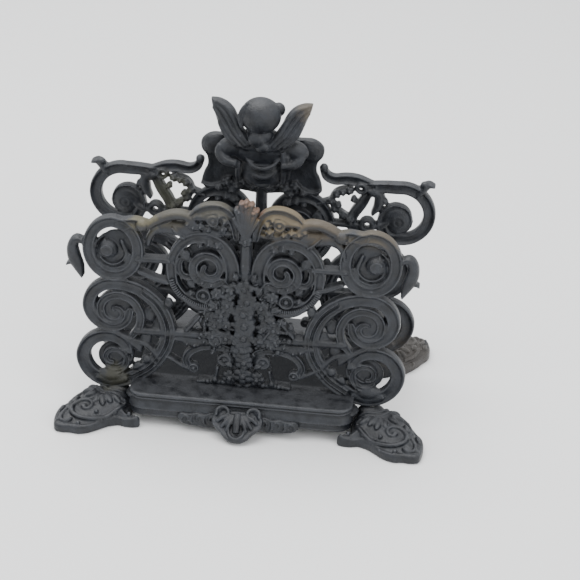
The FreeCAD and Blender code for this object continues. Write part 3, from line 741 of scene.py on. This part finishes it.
def front_ears(mould, face):
    """The round ear at the panel's shoulder, wound up solid round a ball, with a leaf outside it."""
    scroll(mould, face, [(47.4, 106.8, 4.6), (53.2, 107.4, 5.8)]
           + [(64 + 12.5 * math.cos(a), 92.8 + 14.8 * math.sin(a), 6.0)
              for a in (math.radians(d) for d in range(112, -250, -20))], CHANNEL)
    mould.lump((62.6, face + 4.6, 91), (9.6, 1.8, 11.4), rows=11)
    mould.lump((66.6, face + 1.9, 92.4), (5.0, 3.2, 5.0), rows=8)
    scroll(mould, face, curl(66.6, 92.4, (30, 3.1, 1.6), (330, 2.2, 1.2)), THIN, 1.4)
    for radius in (7.0, 9.0):
        scroll(mould, face, curl(64.6, 91.6, (-170, radius, 1.0), (-90, radius * 1.08, 1.4),
                                 (10, radius * 0.94, 1.2), (60, radius, 0.8)), THIN, -1.2)
    mould.lump((49, face + 1.6, 106.6), (3.4, 3.2, 3.4), rows=7)
    # the leaf that springs from the ear's side, and its small point
    scroll(mould, face, [(79.4, 95.8, 3.0), (82.8, 96.2, 4.6), (84.8, 92.0, 5.6), (84.2, 86.4, 6.6),
                         (82.0, 81.0, 5.2), (80.4, 76.6, 2.0)], ROUND)
    scroll(mould, face, [(83.6, 84.4, 2.8), (88.0, 82.2, 1.2)], ROUND, -1)
    scroll(mould, face, [(58.2, 83.0, 2.4), (57.4, 89.6, 3.6), (59.6, 96.6, 2.6)], ROUND, -1.6)
    for k in range(5):
        petal(mould, face, 73.6 - 0.5 * k, 82.6 + 1.4 * k, 200 - 8 * k, 3.4, 1.2, -1.4, 0.9)


def front_crest(mould, face):
    """The moulded top edge between the ear and the plume."""
    scroll(mould, face, [(48, 106, 4.4), (43, 109.4, 5.0), (36.4, 112.2, 5.2), (30.4, 112.4, 5.0),
                         (26.6, 110, 4.2)], ROUND, 0.2)
    scroll(mould, face, [(25.6, 105.4, 6.0), (33, 104.6, 8.0), (41, 104.8, 6.6), (46.4, 102, 4.0)], ROUND,
           -1.0)
    scroll(mould, face, [(30.6, 100.8, 1.4), (33.4, 103, 1.8), (36.2, 106, 1.4)], THIN, 0.2)
    scroll(mould, face, [(44.6, 104, 3.6), (47.6, 100, 3.8), (48.4, 96.6, 3.0)], ROUND, -0.4)
    # the broad leaf over the stem
    scroll(mould, face, [(26.4, 112.6, 4.2), (23.4, 115.2, 5.4), (18.4, 117.4, 5.6), (12.6, 117.6, 5.0),
                         (8, 114.6, 4.6), (5.6, 109, 4.2), (4.6, 103.4, 3.6)], CHANNEL)
    scroll(mould, face, [(24.6, 112.4, 3.6), (19, 112.8, 4.6), (14, 113.8, 4.0)], ROUND, 0.2)
    rosette(mould, face, 16.3, 111.6, 3.3, 0.6)
    for x, z, size in ((22.4, 108, 2.3), (11.6, 107.6, 2.7), (26, 107.4, 2.2), (10.6, 111.4, 1.9),
                       (13, 114.2, 1.9), (18.6, 106.6, 1.9), (28.8, 108.8, 1.6)):
        blossom(mould, face, x, z, size, 5, 0.6, 33 * x)
    scroll(mould, face, [(6, 105, 3.0), (12, 104.6, 3.6), (20, 105.2, 3.0)], ROUND, -1.0)


def plume(mould, face):
    """The fan of fronds over the stem."""
    for lean, tall in ((-24, 13.5), (-15.5, 17.5), (-7, 20.4), (0, 21.2), (7, 20.4), (15.5, 17.5),
                       (24, 13.5)):
        c, s = math.sin(math.radians(lean)), math.cos(math.radians(lean))
        scroll(mould, face, [(c * 2, 101 + s * 2, 1.8), (c * tall * 0.55, 101 + s * tall * 0.6, 2.8),
                             (c * tall * 1.05, 101 + s * tall, 2.8)], ROUND,
               1.0 + 0.6 * math.cos(math.radians(lean * 4)))
    for x, z, size in ((0, 121.2, 3.0), (-3.4, 118, 2.4), (3.6, 117.8, 2.4)):
        blossom(mould, face, x, z, size, 5, 1.2, 10)
    blossom(mould, face, 0, 102.6, 3.4, 6, 1.6)


# the end scrolls have come out of the mould a little askew
cast("front_end_scrolls", (end_scrolls, front_ears), FRONT_FACE, "front_panel", grid=0.5,
     lean=(-2.4, 0.016))
cast("front_ring_scrolls", (ribbed_scrolls, low_arch, front_crest), FRONT_FACE, "front_panel", grid=0.5)
cast("front_festoon", (festoon, plume), FRONT_FACE, "front_panel", grid=0.38, whole=True)
cast("front_ring_ribs", (ring_ribs,), FRONT_FACE, "front_panel")

# ---------------------------------------------------------------------------------------------
# Back panel.  Taller than the front one; its ears end in a wound disc, a garland runs in to the
# middle, and a flat crest plate stands over the rings to carry the winged figure.


def back_ears(mould, face):
    """The ear round its wound disc, the garland inside it and the rail towards the middle."""
    scroll(mould, face, [(56, 110, 5.2), (64.4, 110.4, 6.0)]
           + curl(73, 95.5, (100, 15.2, 6.2), (45, 15.2, 6.4), (0, 15.0, 6.4), (-45, 14.4, 6.2),
                  (-90, 14.0, 6.0))
           + curl(72.3, 92.2, (-115, 11.2, 5.6), (-180, 8.6, 5.0), (-250, 7.6, 4.4), (-330, 5.6, 3.6),
                  (-400, 4.2, 3.0)), CHANNEL)
    mould.lump((72.3, face + 2.6, 92), (7.6, 3.0, 7.6), rows=8)
    rosette(mould, face, 72.3, 92, 3.6, 0.4)
    scroll(mould, face, [(82, 108, 3.0), (84.4, 111.6, 4.6), (86.6, 113.4, 3.6), (89, 113, 2.0)], ROUND)
    mould.lump((84.6, face + 2, 113.4), (2.6, 2.4, 2.2), rows=6)
    scroll(mould, face, [(56.6, 108.6, 4.4), (53, 101, 5.4), (48.8, 94, 5.4), (47.6, 88, 4.8),
                         (50.4, 84.4, 4.6), (55, 84.6, 4.0)], CHANNEL)
    scroll(mould, face, curl(56, 88.6, (200, 2.9, 3.0), (540, 2.9, 3.0)), ROUND, 0.6)
    scroll(mould, face, [(58.6, 87.6, 3.0), (63, 88.4, 3.8), (66, 90.4, 3.0)], ROUND)
    scroll(mould, face, [(57.2, 107.6, 4.0), (61.4, 105.4, 5.6), (61.2, 100, 5.2), (58.8, 95.6, 2.6)],
           ROUND, 0.2)
    scroll(mould, face, [(57, 110.4, 5.4), (50, 113, 5.6), (44, 113.5, 5.4), (38, 112.8, 5.0),
                         (33.8, 114.6, 4.6), (32, 118, 3.8)], CHANNEL)
    mould.lump((32.2, face + 2, 119), (2.4, 2.6, 2.4), rows=6)
    scroll(mould, face, curl(52, 109.4, (0, 2.3, 2.2), (345, 2.3, 2.2)), THIN, 0.6)
    for x, z, size in ((46, 107.6, 2.5), (42.6, 106.6, 2.3), (39.4, 105.2, 2.6), (37, 101, 2.6),
                       (38.6, 96.8, 2.5), (43, 93.4, 2.5), (46.6, 91, 2.2), (40.6, 99, 2.0),
                       (48.4, 103, 2.0)):
        blossom(mould, face, x, z, size, 5, 0.6, 37 * x)
    scroll(mould, face, [(46.4, 108, 3.0), (39.6, 105.6, 3.2), (37, 101, 3.2), (38.6, 96.6, 3.2),
                         (43, 93.2, 3.0), (47, 91, 3.0)], ROUND, -1)
    scroll(mould, face, [(37.4, 101, 2.8), (30.6, 98.6, 2.8)], ROUND, -0.6)
    leaf(mould, face, 66, 100.6, 128, 5.6, 3.8, -0.4)


CREST_EDGE = [(0, 101.6), (14, 103.2), (27, 102), (31.4, 105.4), (30.4, 111.5), (28.4, 116), (28.8, 121),
              (31.6, 125), (31.4, 130), (26.4, 133.6), (18, 133.8), (8, 135.8), (0, 136.4)]


def crest(mould, face):
    """The plate behind the figure, with a lobe at each shoulder and flowers along its foot."""
    right = [(x, z, 0) for x, z in CREST_EDGE]
    left = [(-x, z, 0) for x, z in CREST_EDGE[-2:0:-1]]
    edge = smooth_line(right + left + right[:1], 1.0)[:-1]
    heart = np.array((0, 118, 0))
    rings = []
    for size, depth in ((0.96, 5.9), (1.0, 5.0), (1.0, 2.6), (0.985, 1.7), (0.95, 1.4), (0.9, 1.7),
                        (0.8, 1.9), (0.65, 1.9), (0.5, 1.8), (0.35, 1.8), (0.2, 1.8), (0.03, 1.8)):
        rings.append([(x, face + depth, z) for x, z, _ in heart + (edge - heart) * size])
    mould.loft(rings)
    for side in (-1, 1):
        mould.lump((side * 24.6, face + 2.6, 127.6), (6.8, 3.4, 6.2), rows=9)
        scroll(mould, face, [(side * 31, 106, 1.6), (side * 26, 104.6, 1.8), (side * 20, 107, 1.6),
                             (side * 16.4, 110, 1.4)], THIN, 0.2)
        for x, z, size in ((4, 106.6, 3.6), (8.6, 108.4, 2.8), (12.4, 106, 3.0), (17.6, 107.6, 3.2),
                           (15, 103.4, 2.4), (22, 104.4, 2.2)):
            blossom(mould, face, side * x, z, size, 5, 1.0, 29 * x)


cast("back_end_scrolls", (end_scrolls, back_ears), BACK_FACE, "back_panel", grid=0.55)
cast("back_ring_scrolls", (ribbed_scrolls, low_arch), BACK_FACE, "back_panel", grid=0.55)
cast("back_crest", (crest,), BACK_FACE, "back_panel", grid=0.45, whole=True)
cast("back_festoon", (festoon,), BACK_FACE, "back_panel", grid=0.5, whole=True)
cast("back_ring_ribs", (ring_ribs,), BACK_FACE, "back_panel")

# ---------------------------------------------------------------------------------------------
# Winged figure.  A small cast cherub screwed to the crest plate.  Its bare round head is bowed right
# down, so that the crown and the nape show, and two leaf-shaped wings stand up from its back in a V.

figure = Mould()
figure.lump((0, 17.4, 149), (10.4, 9.4, 9.4), rows=20)
figure.lump((0.4, 16.6, 139.6), (6.6, 5.4, 5.0), rows=10)
figure.lump((0, 20, 131), (15.5, 6.0, 10.5), rows=14)
figure.lump((1, 20, 117.5), (12.0, 5.6, 9.0), rows=12)
# hair: a lock behind the crown, a rolled edge beside it and fine strands over the top
figure.lump((8.6, 20.6, 151.6), (3.5, 3.4, 3.7), rows=9)
cord_bead(figure, [(-5.6, 14.4, 157.0, 0.8), (-8.8, 13.2, 153.4, 1.0), (-10.2, 13.0, 148.6, 1.1),
                   (-8.8, 12.4, 143.4, 0.9)])
for x in (-5.4, -2.8, 0.2, 3.2, 6.0):
    cord_bead(figure, [(x * 0.4, 18.2 - 0.1 * abs(x), 158.1 - 0.03 * x * x, 0.5),
                       (x * 0.9, 12.6, 156.0 - 0.08 * x * x, 0.5),
                       (x * 1.2, 9.4 + 0.03 * x * x, 151.8 - 0.06 * x * x, 0.45)])


WING_ROOT_Y, WING_TIP_Y = 13.4, 20.6
WING_LOW, WING_HIGH = 131.0, 155.4


def wing(side, outline):
    """One wing from its outline (x, z): a cushioned plate, nearer the eye at its root."""
    edge = smooth_line([(x, z, 0) for x, z in outline + outline[:1]], 0.8)[:-1]
    low, high = edge[:, 1].min(), edge[:, 1].max()
    heart = edge.mean(axis=0)
    rings = []
    for size, depth in ((0.94, 3.4), (1.0, 2.6), (1.0, 0.9), (0.95, 0.0), (0.86, -0.4), (0.72, -0.5),
                        (0.45, -0.6), (0.05, -0.6)):
        rings.append([(side * x, WING_ROOT_Y + (WING_TIP_Y - WING_ROOT_Y) * (z - low) / (high - low)
                       + depth, z)
                      for x, z, _ in heart + (edge - heart) * size])
    figure.loft(rings)


WING = [(25.9, 155.4), (25.0, 151.4), (23.2, 147.0), (21.4, 142.4), (19.4, 138.4), (15.0, 134.6),
        (9.0, 131.2), (1.2, 131.4), (3.4, 135.2), (7.4, 139.8), (10.6, 144.6), (13.4, 149.9), (17.0, 153.4),
        (21.6, 155.2)]
for side in (-1, 1):
    wing(side, WING)
    # the smooth upper band and the long feathers under it
    for knots in ([(4.6, 133.6, 0.9), (9.4, 139.0, 1.5), (13.2, 145.8, 1.6), (17.6, 151.4, 1.5),
                   (24.0, 154.4, 0.9)],
                  [(6.8, 133.2, 0.7), (12.4, 138.8, 1.1), (16.6, 145.4, 1.2), (20.6, 150.4, 1.1),
                   (24.6, 153.0, 0.7)],
                  [(9.4, 132.8, 0.6), (14.6, 137.6, 1.0), (18.4, 142.8, 1.1), (22.2, 148.4, 1.0),
                   (24.8, 151.6, 0.6)],
                  [(12.0, 133.4, 0.6), (16.4, 136.8, 0.9), (19.4, 140.8, 0.9), (21.6, 144.6, 0.6)]):
        back = (WING_TIP_Y - WING_ROOT_Y) / (WING_HIGH - WING_LOW)
        cord_bead(figure, [(side * x, WING_ROOT_Y - 0.5 + back * (z - WING_LOW), z, r) for x, z,
                           r in knots])
    # the shoulder and the arm folded under it
    figure.lump((side * (15.0 if side < 0 else 17.6), 19.4, 130.4), (7.4, 4.6, 5.4),
                (Vector((math.cos(0.3), 0, -side * math.sin(0.3))), Vector((0, 1, 0)),
                 Vector((side * math.sin(0.3), 0, math.cos(0.3)))), rows=10)
    cord_bead(figure, [(side * 19.4, 18.8, 131.6, 2.6), (side * 20.6, 17.6, 127.4, 2.8),
                       (side * 17.6, 15.8, 124.0, 2.6), (side * 11.0, 14.4, 123.0, 2.2)])
# the nape and the small of the back, between the wings
figure.lump((-1.2, 12.6, 137.6), (4.6, 2.6, 4.0), rows=9)
figure.lump((1.8, 12.8, 133.6), (3.8, 2.2, 3.0), rows=8)
# drapery: three swags across the front and folds that hang at the sides
for drop, wide, radius in ((0, 9.4, 1.7), (5.2, 8.0, 1.6), (10.4, 6.6, 1.3)):
    cord_bead(figure, [(x + 1.6, 13.4 + 0.035 * x * x + 0.24 * drop, 121.6 - drop + 0.06 * x * x,
                        radius * (1 - abs(x) / (1.7 * wide)))
                       for x in (-wide, -0.6 * wide, -0.3 * wide, 0, 0.3 * wide, 0.6 * wide, wide)])
for x, top, foot_z in ((12.6, 131, 113), (15.0, 129, 115), (-11.0, 124, 112)):
    cord_bead(figure, [(x * 0.94, 15.6, top, 1.1), (x, 15.2, (top + foot_z) / 2, 1.5),
                       (x * 0.96, 17.4, foot_z, 1.1)])
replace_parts(figure.pour("winged_cherub", grid=0.42, soften=2), "winged_figure")

# ---------------------------------------------------------------------------------------------
# Table, light and camera.

floor_mesh = bpy.data.meshes.new("table_top")
floor_mesh.from_pydata([(-3, -3, 0), (3, -3, 0), (3, 3, 0), (-3, 3, 0)], [], [(0, 1, 2, 3)])
table = bpy.data.objects.new("table_top", floor_mesh)
bpy.context.scene.collection.objects.link(table)
paint = bpy.data.materials.new("pale_table")
paint.use_nodes = True
paint.node_tree.nodes["Principled BSDF"].inputs["Base Color"].default_value = (0.80, 0.80, 0.795, 1)
paint.node_tree.nodes["Principled BSDF"].inputs["Roughness"].default_value = 0.6
table.data.materials.append(paint)

world = bpy.data.worlds.new("studio")
world.use_nodes = True
world.node_tree.nodes["Background"].inputs["Color"].default_value = (0.96, 0.98, 1.0, 1)
world.node_tree.nodes["Background"].inputs["Strength"].default_value = 1.15
bpy.context.scene.world = world


def soft_lamp(name, place, aim, size, power):
    """A round lamp, in metres and watts, turned to its aim."""
    lamp = bpy.data.lights.new(name, "AREA")
    lamp.shape = "DISK"
    lamp.size = size
    lamp.energy = power
    holder = bpy.data.objects.new(name, lamp)
    holder.location = place
    holder.rotation_euler = (Vector(aim) - Vector(place)).to_track_quat("-Z", "Y").to_euler()
    bpy.context.scene.collection.objects.link(holder)


soft_lamp("overhead", (-0.3, 0.1, 1.5), (0, 0, 0.05), 1.8, 38)
soft_lamp("window", (1.0, -0.9, 0.9), (0, 0, 0.06), 0.9, 8)

AZIMUTH, ELEVATION, ROLL = math.radians(5.65), math.radians(28.22), math.radians(2.01)
lens = bpy.data.cameras.new("camera")
lens.lens = 93.8
lens.sensor_width = 36
camera = bpy.data.objects.new("camera", lens)
camera.location = (0.0873, -0.6854, 0.4304)
camera.rotation_euler = (Matrix.Rotation(AZIMUTH, 3, "Z") @ Matrix.Rotation(math.pi / 2 - ELEVATION, 3, "X")
                         @ Matrix.Rotation(ROLL, 3, "Z")).to_euler()
bpy.context.scene.collection.objects.link(camera)
bpy.context.scene.camera = camera
